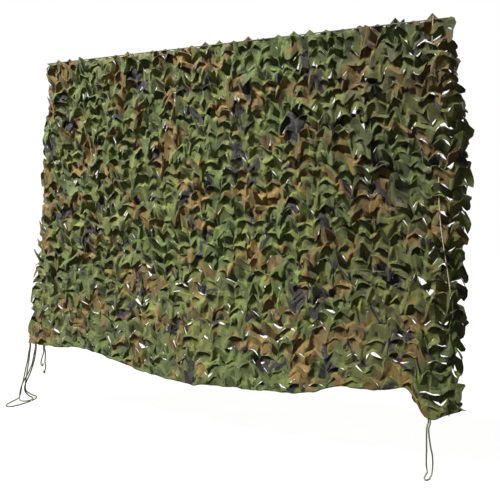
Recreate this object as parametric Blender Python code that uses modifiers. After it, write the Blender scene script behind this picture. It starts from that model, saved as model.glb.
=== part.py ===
"""Camouflage net, 3 m by 2 m, hanging from its taut top rope, with corner ties that reach the floor.

Metres, +Z up. The origin is the middle of the top edge, +X runs along the net and -Y is its front.
"Across" and "down" are places on the flat cloth: across from its middle, down from its top edge.
"""

import math
import random
from collections import namedtuple

import bmesh
import bpy
from mathutils import Vector

# ---- driving dimensions ----
CLOTH_WIDTH = 3.0
CLOTH_HEIGHT = 2.0
CLOTH_THICKNESS = 0.002
HALF_WIDTH = CLOTH_WIDTH / 2
TOP_ROPE_LENGTH = 2.71
TOP_GATHER = 0.90  # the cloth's width along the top rope, as a share of its flat width
BODY_GATHER = 0.975  # and further down
SPREAD_DOWN = 0.70  # how far down the gathering at the top rope is felt
EVEN_DROP = 1.86  # the hung height where the hem doesn't sag
SAG_POWER = 3.0  # how much of the hem's sag is left to the lowest rows
FLOOR_Z = -2.235

# ---- the lattice of slits: bridges and slits alternate along a row, and rows are staggered ----
HALF_PITCHES = 22
HALF_PITCH = CLOTH_WIDTH / HALF_PITCHES
SLIT_ROWS = 16
ROW = CLOTH_HEIGHT / SLIT_ROWS
BRIDGE_HALF = 0.025
TIP_FORWARD = 0.036  # how far a hanging tip stands out of the sheet
LIP_FORWARD = 0.013  # how far the lip below a slit stands out
TIP_DROP = 0.004
LIP_DROP = 0.024
EDGE_JAG = 0.012  # leaf tips along the side edges
SCALLOP = 0.018  # dip of the top edge between its fastenings
FLAT_FROM, FLAT_TO = 0.70, 0.86  # shares of the height between which the leaves lie down
FLAT_RELIEF = 0.45
LEAF_SEED = 7

# ---- ropes, ties and backing mesh ----
GAP = 0.0003
TOP_ROPE_RADIUS = 0.0035
HEM_ROPE_RADIUS = 0.0035
SIDE_CORD_RADIUS = 0.0025
SIDE_CORD_FORWARD = 0.016
SIDE_CORD_CLEAR = 0.12  # the leaves lie down this close to a side cord
SIDE_CORD_OVERRUN = 0.012
TIE_RADIUS = 0.0035
TIE_STRANDS = 0.0092  # between the two strands of a doubled tie
TIE_POINT_SPACING = 0.019
MESH_CORD = 0.003
MESH_SLACK = 0.008  # the mesh stands this far behind the cloth between its fastenings
MESH_COLUMNS = 10  # half pitches from the middle to the mesh's outer upright
MESH_TOP_CLEAR, MESH_HEM_CLEAR = 0.004, 0.008

# Height of the hem along the net.
HemPoint = namedtuple("HemPoint", "across height")
HEM = (
    HemPoint(-1.50, -1.850),
    HemPoint(-1.25, -1.846),
    HemPoint(-0.95, -1.836),
    HemPoint(-0.60, -1.915),
    HemPoint(-0.25, -1.960),
    HemPoint(0.15, -1.945),
    HemPoint(0.60, -1.925),
    HemPoint(0.85, -1.862),
    HemPoint(1.07, -1.857),
    HemPoint(1.20, -1.829),
    HemPoint(1.25, -1.866),
    HemPoint(1.31, -1.962),
    HemPoint(1.40, -1.955),
    HemPoint(1.50, -1.937),
)

# The free margins past the mesh turn back: how wide each is and by how many degrees it turns.
Margins = namedtuple("Margins", "down left_width left_turn right_width right_turn")
MARGINS = (
    Margins(0.00, 0.04, 0, 0.04, 0),
    Margins(0.20, 0.08, 50, 0.15, 55),
    Margins(0.60, 0.09, 75, 0.21, 62),
    Margins(1.20, 0.09, 70, 0.22, 70),
    Margins(1.65, 0.10, 30, 0.30, 70),
    Margins(2.00, 0.11, 20, 0.26, 55),
)

# How far the sheet stands forward of the top rope's plane, at its left end, middle and right end.
Profile = namedtuple("Profile", "down left middle right")
PROFILE = (
    Profile(0.00, 0.000, 0.000, 0.000),
    Profile(0.50, 0.000, 0.010, 0.000),
    Profile(1.00, 0.002, -0.004, 0.004),
    Profile(1.40, 0.055, 0.004, 0.010),
    Profile(1.75, 0.092, 0.070, 0.060),
    Profile(2.00, 0.125, 0.125, 0.110),
)

# Soft upright folds that run down the net.
Fold = namedtuple("Fold", "wavelength phase depth")
FOLDS = (Fold(1.45, 0.6, 0.010), Fold(0.83, 2.1, 0.005))

# Places of the side cords across the flat cloth.
SideCord = namedtuple("SideCord", "down left right")
SIDE_CORDS = (
    SideCord(0.00, -1.400, 1.400),
    SideCord(0.35, -1.385, 1.350),
    SideCord(0.95, -1.380, 1.335),
    SideCord(1.40, -1.385, 1.395),
    SideCord(1.65, -1.390, 1.440),
    SideCord(2.00, -1.395, 1.440),
)

# Routes of the long ties below their two ends at the hem: x, y and z of points along the cord.
FLOOR_LINE = FLOOR_Z + TIE_RADIUS
TIE_LEFT_A_ROUTE = (
    (-1.469, -0.106, -1.925),
    (-1.478, -0.107, -1.972),
    (-1.495, -0.109, -2.030),
    (-1.516, -0.111, -2.105),
    (-1.533, -0.110, -2.146),
    (-1.550, -0.102, -2.182),
    (-1.556, -0.105, -2.215),
    (-1.535, -0.140, FLOOR_LINE),
    (-1.512, -0.190, FLOOR_LINE),
    (-1.492, -0.250, FLOOR_LINE),
    (-1.468, -0.305, FLOOR_LINE),
    (-1.440, -0.333, FLOOR_LINE),
    (-1.408, -0.325, FLOOR_LINE),
    (-1.396, -0.280, FLOOR_LINE),
    (-1.394, -0.225, FLOOR_LINE),
    (-1.400, -0.170, FLOOR_LINE),
    (-1.415, -0.115, FLOOR_LINE),
    (-1.440, -0.070, FLOOR_LINE),
    (-1.475, -0.045, FLOOR_LINE),
    (-1.510, -0.050, -2.223),
    (-1.530, -0.078, -2.195),
    (-1.520, -0.092, -2.150),
    (-1.503, -0.102, -2.105),
    (-1.481, -0.106, -2.030),
    (-1.466, -0.107, -1.972),
    (-1.458, -0.107, -1.925),
)
TIE_LEFT_B_ROUTE = (
    (-1.410, -0.116, -1.930),
    (-1.424, -0.118, -1.985),
    (-1.440, -0.121, -2.022),
    (-1.461, -0.128, -2.066),
    (-1.492, -0.135, -2.115),
    (-1.514, -0.138, -2.160),
    (-1.516, -0.148, -2.200),
    (-1.497, -0.168, -2.226),
    (-1.468, -0.185, FLOOR_LINE),
    (-1.435, -0.182, FLOOR_LINE),
    (-1.420, -0.150, FLOOR_LINE),
    (-1.436, -0.108, FLOOR_LINE),
    (-1.463, -0.086, FLOOR_LINE),
    (-1.490, -0.090, -2.222),
    (-1.502, -0.112, -2.190),
    (-1.494, -0.122, -2.150),
    (-1.471, -0.122, -2.105),
    (-1.447, -0.118, -2.060),
    (-1.428, -0.115, -2.015),
    (-1.413, -0.113, -1.975),
    (-1.399, -0.112, -1.920),
)
TIE_RIGHT_ROUTE = (
    (1.294, -0.110, -2.020),
    (1.294, -0.111, -2.080),
    (1.295, -0.111, -2.130),
    (1.294, -0.110, -2.180),
    (1.293, -0.103, -2.214),
    (1.300, -0.112, FLOOR_LINE),
    (1.308, -0.135, FLOOR_LINE),
    (1.313, -0.175, FLOOR_LINE),
    (1.323, -0.222, FLOOR_LINE),
    (1.337, -0.244, FLOOR_LINE),
    (1.347, -0.222, FLOOR_LINE),
    (1.341, -0.180, FLOOR_LINE),
    (1.333, -0.140, FLOOR_LINE),
    (1.328, -0.116, -2.222),
    (1.327, -0.110, -2.185),
    (1.324, -0.110, -2.148),
    (1.315, -0.110, -2.110),
    (1.307, -0.110, -2.060),
    (1.304, -0.110, -2.020),
)
SHORT_TIE_A_ROUTE = (
    (-1.316, -0.118, -1.900),
    (-1.327, -0.119, -1.930),
    (-1.338, -0.121, -1.962),
    (-1.337, -0.122, -1.988),
    (-1.325, -0.123, -1.992),
    (-1.317, -0.124, -1.974),
)
SHORT_TIE_B_ROUTE = (
    (-1.301, -0.118, -1.900),
    (-1.302, -0.118, -1.930),
    (-1.305, -0.119, -1.965),
    (-1.300, -0.120, -2.005),
    (-1.311, -0.121, -2.028),
)
LEFT_TIE_A_X, LEFT_TIE_B_X, SHORT_TIE_X, RIGHT_TIE_X = -1.451, -1.388, -1.306, 1.300


def clear_scene():
    for obj in list(bpy.data.objects):
        bpy.data.objects.remove(obj)


def make_material(name, colour, roughness):
    material = bpy.data.materials.new(name)
    material.use_nodes = True
    shader = material.node_tree.nodes["Principled BSDF"]
    shader.inputs["Base Color"].default_value = (*colour, 1)
    shader.inputs["Roughness"].default_value = roughness
    shader.inputs["Metallic"].default_value = 0
    return material


def add_object(name, data, material, collection):
    obj = bpy.data.objects.new(name, data)
    data.materials.append(material)
    collection.objects.link(obj)
    return obj


def ease(share):
    """0 to 1 with a soft start and end."""
    share = min(max(share, 0.0), 1.0)
    return share * share * (3 - 2 * share)


def read_row(rows, place):
    """The row of a table at a place given by its first column, on a smooth curve through its rows."""
    place = min(max(place, rows[0][0]), rows[-1][0])
    at = next(i for i, row in enumerate(rows[1:]) if place <= row[0])
    before, start, end, after = rows[max(at - 1, 0)], rows[at], rows[at + 1], rows[min(at + 2, len(rows) - 1)]
    gap = end[0] - start[0]
    t = (place - start[0]) / gap
    values = []
    for a, b, c, d in zip(before, start, end, after):
        rise_in = (c - a) / (end[0] - before[0]) * gap
        rise_out = (d - b) / (after[0] - start[0]) * gap
        values.append((2 * t**3 - 3 * t**2 + 1) * b + (t**3 - 2 * t**2 + t) * rise_in
                      + (3 * t**2 - 2 * t**3) * c + (t**3 - t**2) * rise_out)
    return type(start)(*values)


def hang(across, down):
    """Where a place of the flat cloth hangs, without the relief of its leaves."""
    share = down / CLOTH_HEIGHT
    gather = TOP_GATHER + (BODY_GATHER - TOP_GATHER) * ease(down / SPREAD_DOWN)
    margins = read_row(MARGINS, down)
    side = -1 if across < 0 else 1
    width, turn = margins[1:3] if side < 0 else margins[3:5]
    turn = math.radians(turn)
    past = max(abs(across) - (HALF_WIDTH - width), 0)
    x = (abs(across) - past) * gather
    y = 0.0
    if past > 0:
        radius = width / max(turn, 1e-3)
        x += radius * math.sin(past / radius) * (gather if turn < 0.05 else 1)
        y += radius * (1 - math.cos(past / radius))
    profile = read_row(PROFILE, down)
    end = profile.left if side < 0 else profile.right
    endness = (min(abs(across), HALF_WIDTH) / HALF_WIDTH) ** 2
    y -= profile.middle + (end - profile.middle) * endness
    fade = ease(share / 0.25)
    y -= fade * sum(f.depth * math.sin(math.tau * across / f.wavelength + f.phase) for f in FOLDS)
    sag = read_row(HEM, across).height + EVEN_DROP
    return Vector((side * x, y, -EVEN_DROP * share + sag * share**SAG_POWER))


def front(across, down):
    """The level direction that the sheet's front faces."""
    step = 0.004
    along = hang(across + step, down) - hang(across - step, down)
    return Vector((along.y, -along.x, 0)).normalized()


def side_cord_across(down, side):
    row = read_row(SIDE_CORDS, down)
    return row.left if side < 0 else row.right


def leaf_lie(across, down):
    """How much of their full relief the leaves keep at a place."""
    share = down / CLOTH_HEIGHT
    lie = 1 - (1 - FLAT_RELIEF) * ease((share - FLAT_FROM) / (FLAT_TO - FLAT_FROM))
    away = min(abs(across - side_cord_across(down, side)) for side in (-1, 1))
    return lie * (0.12 + 0.88 * ease(away / SIDE_CORD_CLEAR - 0.2))


# ---- the cloth ----


def lattice_columns():
    """Across-places of the cloth's columns, each with the number of its half pitch."""
    half = HALF_PITCHES // 2
    columns = [(-HALF_WIDTH, -half), (-HALF_WIDTH + BRIDGE_HALF, -half)]
    for number in range(-half + 1, half):
        centre = number * HALF_PITCH
        columns += [(centre - BRIDGE_HALF, number), (centre + BRIDGE_HALF, number)]
    return columns + [(HALF_WIDTH - BRIDGE_HALF, half), (HALF_WIDTH, half)]


def grid_mesh(column_count, row_count):
    """A bmesh grid whose vertices know their column and row."""
    grid = bmesh.new()
    bmesh.ops.create_grid(grid, x_segments=column_count - 1, y_segments=row_count - 1, size=1)
    column_of = grid.verts.layers.int.new("column")
    row_of = grid.verts.layers.int.new("row")
    for vertex in grid.verts:
        vertex[column_of] = round((vertex.co.x + 1) / 2 * (column_count - 1))
        vertex[row_of] = round((1 - vertex.co.y) / 2 * (row_count - 1))
    return grid, column_of, row_of


def is_bridge(number, slit_row):
    return (number - slit_row) % 2 == 0


def cut_slits(grid, columns, column_of, row_of):
    """Splits the grid along each slit; rows with odd numbers are the middles of the ribbons."""
    slits = []
    for edge in grid.edges:
        a, b = edge.verts
        row = a[row_of]
        if row != b[row_of] or row % 2 or row in (0, 2 * SLIT_ROWS):
            continue
        first, second = columns[a[column_of]][1], columns[b[column_of]][1]
        if first != second or not is_bridge(first, row // 2):
            slits.append(edge)
    bmesh.ops.split_edges(grid, edges=slits)


def leaf_reaches():
    """An uneven share of the full reach for each tip, by half pitch and slit row."""
    draw = random.Random(LEAF_SEED)
    half = HALF_PITCHES // 2
    places = [(n, row) for row in range(SLIT_ROWS + 1) for n in range(-half, half + 1)]
    return {place: draw.uniform(0.65, 1.30) for place in places}


def vertex_relief(vertex, row, number, inner, row_of, reaches):
    """How far a vertex stands forward of the sheet and how far it drops, before the leaves lie down."""
    slit_row, middle = divmod(row, 2)
    if middle:
        tip_below = is_bridge(number, slit_row)
        reach = reaches[number, slit_row + 1] if tip_below else 0.5
        return (0.45 * TIP_FORWARD * reach, 0) if tip_below else (LIP_FORWARD * 0.7, LIP_DROP * 0.4)
    if row in (0, 2 * SLIT_ROWS) or is_bridge(number, slit_row):
        return 0, 0
    rows_beside = [v[row_of] for face in vertex.link_faces for v in face.verts]
    above, below = min(rows_beside) < row, max(rows_beside) > row
    if above and below:
        return 0, 0
    reach = reaches[number, slit_row] * (1.0 if inner else 0.8)
    if above:
        return TIP_FORWARD * reach, TIP_DROP
    return LIP_FORWARD * reach, LIP_DROP


def make_cloth(material, collection):
    """One sheet, cut with staggered slits whose upper lips hang forward as leaves."""
    columns = lattice_columns()
    grid, column_of, row_of = grid_mesh(len(columns), 2 * SLIT_ROWS + 1)
    cut_slits(grid, columns, column_of, row_of)
    reaches = leaf_reaches()
    top_seat = TOP_ROPE_RADIUS + GAP
    last = len(columns) - 1
    for vertex in grid.verts:
        column, row = vertex[column_of], vertex[row_of]
        across, number = columns[column]
        down = row * ROW / 2
        inner = 0 < column < last
        forward, drop = vertex_relief(vertex, row, number, inner, row_of, reaches)
        lie = leaf_lie(across, down)
        if not inner:
            across += math.copysign(EDGE_JAG, across) * (1 if row % 4 == 2 else -0.6 * (row % 2))
        if row == 0:
            drop, lie = (0 if is_bridge(number, 0) else SCALLOP), 1
        place = hang(across, down) + front(across, down) * forward * lie
        place.z -= drop * (0.35 + 0.65 * lie) + top_seat * (1 - down / CLOTH_HEIGHT)
        vertex.co = place
    mesh = bpy.data.meshes.new("camo_cloth")
    grid.to_mesh(mesh)
    grid.free()
    cloth = add_object("camo_cloth", mesh, material, collection)
    solidify = cloth.modifiers.new("thickness", "SOLIDIFY")
    solidify.thickness = CLOTH_THICKNESS
    solidify.offset = 0
    return cloth


# ---- the backing mesh ----


def mesh_lines(first, last, spacing, start, stop):
    """Lines of the backing mesh's grid: a pair for each cord at an even number, one line between cords."""
    lines = [start] if start is not None else []
    for number in range(first, last + 1):
        middle = number * spacing
        lines += [middle] if number % 2 else [middle - MESH_CORD / 2, middle + MESH_CORD / 2]
    return lines + ([stop] if stop is not None else [])


def on_facet(across, down):
    """A place on the flat facet that the sheet has across a bridge or a slit's middle."""
    centre = round(across / HALF_PITCH) * HALF_PITCH
    share = (across - centre + BRIDGE_HALF) / (2 * BRIDGE_HALF)
    return hang(centre - BRIDGE_HALF, down).lerp(hang(centre + BRIDGE_HALF, down), share)


def make_backing_mesh(material, collection):
    """Cords behind the cloth: uprights through its bridges and level cords between them."""
    across_lines = mesh_lines(-MESH_COLUMNS, MESH_COLUMNS, HALF_PITCH, None, None)
    ends = (MESH_TOP_CLEAR, CLOTH_HEIGHT - MESH_HEM_CLEAR)
    down_lines = mesh_lines(1, SLIT_ROWS - 1, ROW, *ends)
    grid, column_of, row_of = grid_mesh(len(across_lines), len(down_lines))
    upright = [b - a < 2 * MESH_CORD for a, b in zip(across_lines, across_lines[1:])]
    level = [b - a < 2 * MESH_CORD for a, b in zip(down_lines, down_lines[1:])]
    spare = []
    for face in grid.faces:
        column = min(v[column_of] for v in face.verts)
        row = min(v[row_of] for v in face.verts)
        if not upright[column] and not level[row]:
            spare.append(face)
    bmesh.ops.delete(grid, geom=spare, context="FACES")
    seat = CLOTH_THICKNESS / 2 + 2 * GAP + MESH_CORD / 2
    for vertex in grid.verts:
        across, down = across_lines[vertex[column_of]], down_lines[vertex[row_of]]
        loose = max(abs(math.sin(math.pi * across / (2 * HALF_PITCH))),
                    abs(math.sin(math.pi * down / (2 * ROW))))
        back = seat + MESH_SLACK * loose**2
        vertex.co = on_facet(across, down) - front(across, down) * back
        vertex.co.z -= (TOP_ROPE_RADIUS + GAP) * (1 - down / CLOTH_HEIGHT)
    mesh = bpy.data.meshes.new("backing_mesh")
    grid.to_mesh(mesh)
    grid.free()
    lattice = add_object("backing_mesh", mesh, material, collection)
    solidify = lattice.modifiers.new("thickness", "SOLIDIFY")
    solidify.thickness = MESH_CORD
    solidify.offset = 0
    return lattice


# ---- ropes and ties ----


def make_tube(name, points, radius, material, collection):
    """A cord: a round tube along points, with closed ends."""
    curve = bpy.data.curves.new(name, "CURVE")
    curve.dimensions = "3D"
    curve.bevel_depth = radius
    curve.bevel_resolution = 2
    curve.use_fill_caps = True
    spline = curve.splines.new("POLY")
    spline.points.add(len(points) - 1)
    for point, place in zip(spline.points, points):
        point.co = (*place, 1)
    return add_object(name, curve, material, collection)


def smooth_route(route, spacing):
    """Evenly spaced points of the smooth curve that passes through a route's points."""
    route = [Vector(p) for p in route]
    padded = [2 * route[0] - route[1], *route, 2 * route[-1] - route[-2]]
    fine = []
    for before, a, b, after in zip(padded, padded[1:], padded[2:], padded[3:]):
        for step in range(12):
            t = step / 12
            fine.append(0.5 * (2 * a + (b - before) * t
                               + (2 * before - 5 * a + 4 * b - after) * t**2
                               + (3 * a - before - 3 * b + after) * t**3))
    fine.append(route[-1])
    lengths = [0.0]
    for a, b in zip(fine, fine[1:]):
        lengths.append(lengths[-1] + (b - a).length)
    count = max(round(lengths[-1] / spacing), 2)
    points, at = [], 0
    for number in range(count + 1):
        wanted = lengths[-1] * number / count
        while at < len(fine) - 2 and lengths[at + 1] < wanted:
            at += 1
        share = (wanted - lengths[at]) / (lengths[at + 1] - lengths[at])
        points.append(fine[at].lerp(fine[at + 1], min(share, 1)))
    return points


def hem_rope_points():
    """The hem rope's middle line, behind the cloth's lower edge."""
    back = CLOTH_THICKNESS / 2 + 2 * GAP + HEM_ROPE_RADIUS
    places = [across for across, _ in lattice_columns()]
    return [hang(a, CLOTH_HEIGHT) - front(a, CLOTH_HEIGHT) * back for a in places]


def make_ropes(dark, pale, collection):
    half = TOP_ROPE_LENGTH / 2
    top = [Vector((x, 0, 0)) for x in (-half, -half / 3, half / 3, half)]
    make_tube("rope_top", top, TOP_ROPE_RADIUS, dark, collection)
    make_tube("rope_hem", hem_rope_points(), HEM_ROPE_RADIUS, dark, collection)
    for side, name in ((-1, "rope_left"), (1, "rope_right")):
        points = []
        count = 20
        for step in range(count + 1):
            down = CLOTH_HEIGHT * step / count
            across = side_cord_across(down, side)
            start = TOP_ROPE_RADIUS + GAP + SIDE_CORD_RADIUS
            out = start + (SIDE_CORD_FORWARD - start) * ease(min(step, count - step) / 2)
            points.append(hang(across, down) + front(across, down) * out)
        above = points[0] + Vector((0, 0, SIDE_CORD_OVERRUN))
        below = points[-1] - Vector((0, 0, SIDE_CORD_OVERRUN))
        make_tube(name, [above, *points, below], SIDE_CORD_RADIUS, pale, collection)


def below_hem_rope(x):
    """Where a tie's end sits just under the hem rope."""
    points = hem_rope_points()
    for a, b in zip(points, points[1:]):
        if a.x <= x <= b.x:
            slope = abs((b.z - a.z) / (b.x - a.x))
            place = a.lerp(b, (x - a.x) / (b.x - a.x))
            tilt = HEM_ROPE_RADIUS * (math.sqrt(1 + slope**2) - 1) + TIE_RADIUS * slope
            return place - Vector((0, 0, HEM_ROPE_RADIUS + GAP + tilt))
    raise ValueError("no hem rope at this place")


def make_ties(material, collection):
    half = TIE_STRANDS / 2
    stub = Vector((0, 0, -0.012))
    loops = (
        ("tie_left_a", LEFT_TIE_A_X, -1, TIE_LEFT_A_ROUTE),
        ("tie_left_b", LEFT_TIE_B_X, -1, TIE_LEFT_B_ROUTE),
        ("tie_right", RIGHT_TIE_X, -1, TIE_RIGHT_ROUTE),
    )
    for name, x, first_side, route in loops:
        start = below_hem_rope(x + first_side * half)
        end = below_hem_rope(x - first_side * half)
        whole = (start, start + stub, start + 2 * stub, *route, end + 2 * stub, end + stub, end)
        points = smooth_route(whole, TIE_POINT_SPACING)
        make_tube(name, points, TIE_RADIUS, material, collection)
    shorts = (
        ("tie_left_short_a", SHORT_TIE_X - half, SHORT_TIE_A_ROUTE),
        ("tie_left_short_b", SHORT_TIE_X + half, SHORT_TIE_B_ROUTE),
    )
    for name, x, route in shorts:
        start = below_hem_rope(x)
        points = smooth_route((start, start + stub, start + 2 * stub, *route), TIE_POINT_SPACING)
        make_tube(name, points, TIE_RADIUS, material, collection)


def main():
    clear_scene()
    collection = bpy.data.collections.new("camouflage_net")
    bpy.context.scene.collection.children.link(collection)
    cloth = make_material("printed_cloth", (0.10, 0.16, 0.06), 0.85)
    cord = make_material("pale_mesh_cord", (0.30, 0.29, 0.16), 0.8)
    rope = make_material("dark_rope", (0.07, 0.08, 0.05), 0.8)
    make_cloth(cloth, collection)
    make_backing_mesh(cord, collection)
    make_ropes(rope, cord, collection)
    make_ties(rope, collection)


main()
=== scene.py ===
"""Looks of the camouflage net: leaf-cut printed cloth on a corded mesh, twisted ropes and corner ties.

Metres, +Z up. The origin is the middle of the top edge, +X runs along the net and -Y is its front.
"Across" and "down" are places on the flat cloth: across from its middle, down from its top edge.
"""

import math
from collections import namedtuple

import bmesh
import bpy
import numpy as np
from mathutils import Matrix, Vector


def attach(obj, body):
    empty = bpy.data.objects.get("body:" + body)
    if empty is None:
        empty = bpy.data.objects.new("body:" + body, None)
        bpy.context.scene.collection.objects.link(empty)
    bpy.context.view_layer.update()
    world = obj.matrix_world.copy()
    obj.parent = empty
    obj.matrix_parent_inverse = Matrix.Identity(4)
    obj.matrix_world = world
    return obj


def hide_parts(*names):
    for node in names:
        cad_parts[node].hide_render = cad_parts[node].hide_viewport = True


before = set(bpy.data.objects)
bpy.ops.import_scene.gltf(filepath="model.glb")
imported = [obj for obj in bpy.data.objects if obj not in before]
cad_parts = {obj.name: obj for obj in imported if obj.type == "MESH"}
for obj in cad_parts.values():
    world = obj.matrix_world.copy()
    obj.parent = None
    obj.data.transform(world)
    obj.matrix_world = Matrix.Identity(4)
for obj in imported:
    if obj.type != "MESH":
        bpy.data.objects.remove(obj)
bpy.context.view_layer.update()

# ---- the net as it hangs, as in the CAD source ----
CLOTH_WIDTH = 3.0
CLOTH_HEIGHT = 2.0
HALF_WIDTH = CLOTH_WIDTH / 2
TOP_ROPE_LENGTH = 2.71
TOP_GATHER = 0.90
BODY_GATHER = 0.975
SPREAD_DOWN = 0.70
EVEN_DROP = 1.86
SAG_POWER = 3.0
FLOOR_Z = -2.235
TOP_ROPE_RADIUS = 0.0035
HEM_ROPE_RADIUS = 0.0035
SIDE_CORD_RADIUS = 0.0025
SIDE_CORD_FORWARD = 0.008
SIDE_CORD_HIDDEN = -0.0125
SIDE_CORD_SHOWN = (0.70, 1.55)
SIDE_CORD_OVERRUN = 0.012
TIE_RADIUS = 0.0035
TIE_STRANDS = 0.0092
TIE_LOOK_RADIUS = 0.0044
GAP = 0.0003
CAD_CLOTH_THICKNESS = 0.002
CAD_HALF_PITCH = CLOTH_WIDTH / 22
CAD_BRIDGE_HALF = 0.025
FOLDS_GROWN_AT = 0.25  # the share of the height at which the folds have their full depth
NO_TURN = 0.05  # margins that turn by less than this angle count as flat

HemPoint = namedtuple("HemPoint", "across height")
HEM = [HemPoint(*row) for row in (
    (-1.50, -1.850), (-1.25, -1.846), (-0.95, -1.836), (-0.60, -1.915), (-0.25, -1.960),
    (0.15, -1.945), (0.60, -1.925), (0.85, -1.862), (1.07, -1.857), (1.20, -1.829),
    (1.25, -1.866), (1.31, -1.962), (1.40, -1.955), (1.50, -1.937),
)]
Margins = namedtuple("Margins", "down left_width left_turn right_width right_turn")
MARGINS = (
    Margins(0.00, 0.04, 0, 0.04, 0),
    Margins(0.20, 0.08, 50, 0.15, 55),
    Margins(0.60, 0.09, 75, 0.21, 62),
    Margins(1.20, 0.09, 70, 0.22, 70),
    Margins(1.65, 0.10, 30, 0.30, 70),
    Margins(2.00, 0.11, 20, 0.26, 55),
)
Profile = namedtuple("Profile", "down left middle right")
PROFILE = (
    Profile(0.00, 0.000, 0.000, 0.000),
    Profile(0.50, 0.000, 0.010, 0.000),
    Profile(1.00, 0.002, -0.004, 0.004),
    Profile(1.40, 0.055, 0.004, 0.010),
    Profile(1.75, 0.092, 0.070, 0.060),
    Profile(2.00, 0.125, 0.125, 0.110),
)
Fold = namedtuple("Fold", "wavelength phase depth")
FOLDS = (Fold(1.45, 0.6, 0.010), Fold(0.83, 2.1, 0.005))
SideCord = namedtuple("SideCord", "down left right")
SIDE_CORDS = (
    SideCord(0.00, -1.400, 1.400),
    SideCord(0.35, -1.385, 1.350),
    SideCord(0.95, -1.380, 1.335),
    SideCord(1.40, -1.385, 1.395),
    SideCord(1.65, -1.390, 1.440),
    SideCord(2.00, -1.395, 1.440),
)

# ---- the leaf cut, finer than the CAD source's: rows of V cuts and of upturned V cuts by turns ----
HALF_PITCHES = 56
HALF_PITCH = CLOTH_WIDTH / HALF_PITCHES
RIBBONS = 54
ROW = CLOTH_HEIGHT / RIBBONS
CUT_SLOPE = 0.64
V_HALF = 0.75 * HALF_PITCH  # half the width of a V cut
V_RISE = V_HALF * CUT_SLOPE
UPTURNED_HALF = 0.88 * HALF_PITCH
UPTURNED_RISE = UPTURNED_HALF * CUT_SLOPE
UPTURNED_LOWER = 0.62 * ROW  # how far below its row's line the ends of an upturned cut are
MIDDLE_MARK = 0.44 * HALF_PITCH  # a column of the cloth between the corners of the cuts
OPENED_BY = 0.55  # the share of a cut's rise at which its lips are fully apart
AT_BRIDGE = 0.999  # past this share of a cut's half width the cloth isn't cut
ROWS_PER_RIBBON = 3
HEM_ROLL_ROWS = 5
HEM_ROLL_RADIUS = 0.0056
HEM_ROLL_TURN = 270  # degrees
HEM_ROLL_ROW = 0.005  # how much of the print each row of the roll takes up
PRINT_HEIGHT = CLOTH_HEIGHT + 0.03
CLOTH_THICKNESS = 0.0011
LEAF_SEED = 11
SPARE_LEAVES = 3  # columns of the tables of leaves past either side of the cloth
CREASE_ANGLE = 7  # degrees between faces from which an edge is shaded sharp

# ---- relief of the ribbons between the cuts, in metres: forward is positive ----
FRONT_LOW_EDGE = 0.013
FRONT_TOP_EDGE = -0.007
BEHIND_EDGE = -0.006
TIP_TUCK = -0.014
FLIPPED_FORWARD = 0.030  # how far the tips stand that are flipped to the front
FLIPPED_ABOVE = 0.3  # tips with a reach above this are flipped
UPTURNED_FLIPPED_ABOVE = 0.5
OVERLAP = 0.0035  # how far the lips of a cut overlap on the flat cloth
OVERLAP_UNEVEN = 0.4
BEHIND_LEFT = 0.009  # how far to the left the lip behind a cut is drawn
RELIEF_LOST_LOW = 0.20  # the share of its relief that the cloth loses towards the hem
RELIEF_LOST_FROM = 0.70  # the share of the height at which that begins
RELIEF_LOST_OVER = 0.17
STEADY_TOP = 0.12  # the rows stray less within these distances of the top and the hem
STEADY_HEM = 0.15
Straying = namedtuple("Straying", "wide tall phase size")
STRAYING = (  # sideways and downward waves by turns
    Straying(0.83, 0.37, 0.3, 0.014),
    Straying(0.47, -0.91, 1.9, 0.012),
    Straying(-1.37, 0.23, 4.1, 0.011),
    Straying(-0.29, 1.30, 2.6, 0.010),
    Straying(0.41, -0.19, 5.2, 0.008),
    Straying(0.19, 0.57, 0.9, 0.008),
)
Ripple = namedtuple("Ripple", "wave phase size")
HEM_RIPPLES = (
    Ripple(0.37, 0.4, 0.0030),
    Ripple(0.21, 1.9, 0.0030),
    Ripple(0.113, 4.0, 0.0022),
    Ripple(0.067, 2.2, 0.0012),
)

# ---- how far the lip behind each cut is lengthened to cover the gap ----
LIP_MARGIN = 0.006
LIP_PER_DEPTH = 0.45
LIP_PER_ASIDE = 0.95
LIP_GAP_MOST = 0.04  # a gap between the lips counts up to this
LIP_MOST = 0.045
LIP_FALLOFF = 1.5  # the power by which the added length fades across the ribbon
PHOTO_SIDEWAYS = (0.858, 0.514, 0.0)  # level and across the photograph's line of sight
OPEN_MARGIN = 1.22  # across and down from these places some cuts stay more open:
OPEN_HEM = 1.38
OPEN_MARGIN_ABOVE = 0.1  # those with a stretch above these
OPEN_HEM_ABOVE = 0.62
OPEN_LIP_SHARE = 0.25

# ---- leaf tips on the cloth's outline ----
TOP_TIP = 0.017
TOP_TIP_UNEVEN = 0.8
TOP_NOTCH = 0.003
TOP_NOTCH_FROM = 0.6  # in shares of a cut's half width
TOP_NOTCH_ABOVE = -0.2  # only tips with a reach above this have notches beside them
TALL_TIPS_PAST = 1.0  # to the right of this place the tips are taller
TALL_TIPS = 1.7
SIDE_TOOTH_LEFT = 0.012
SIDE_TOOTH_RIGHT = 0.024
SIDE_TOOTH_UNEVEN = 0.7

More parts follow.
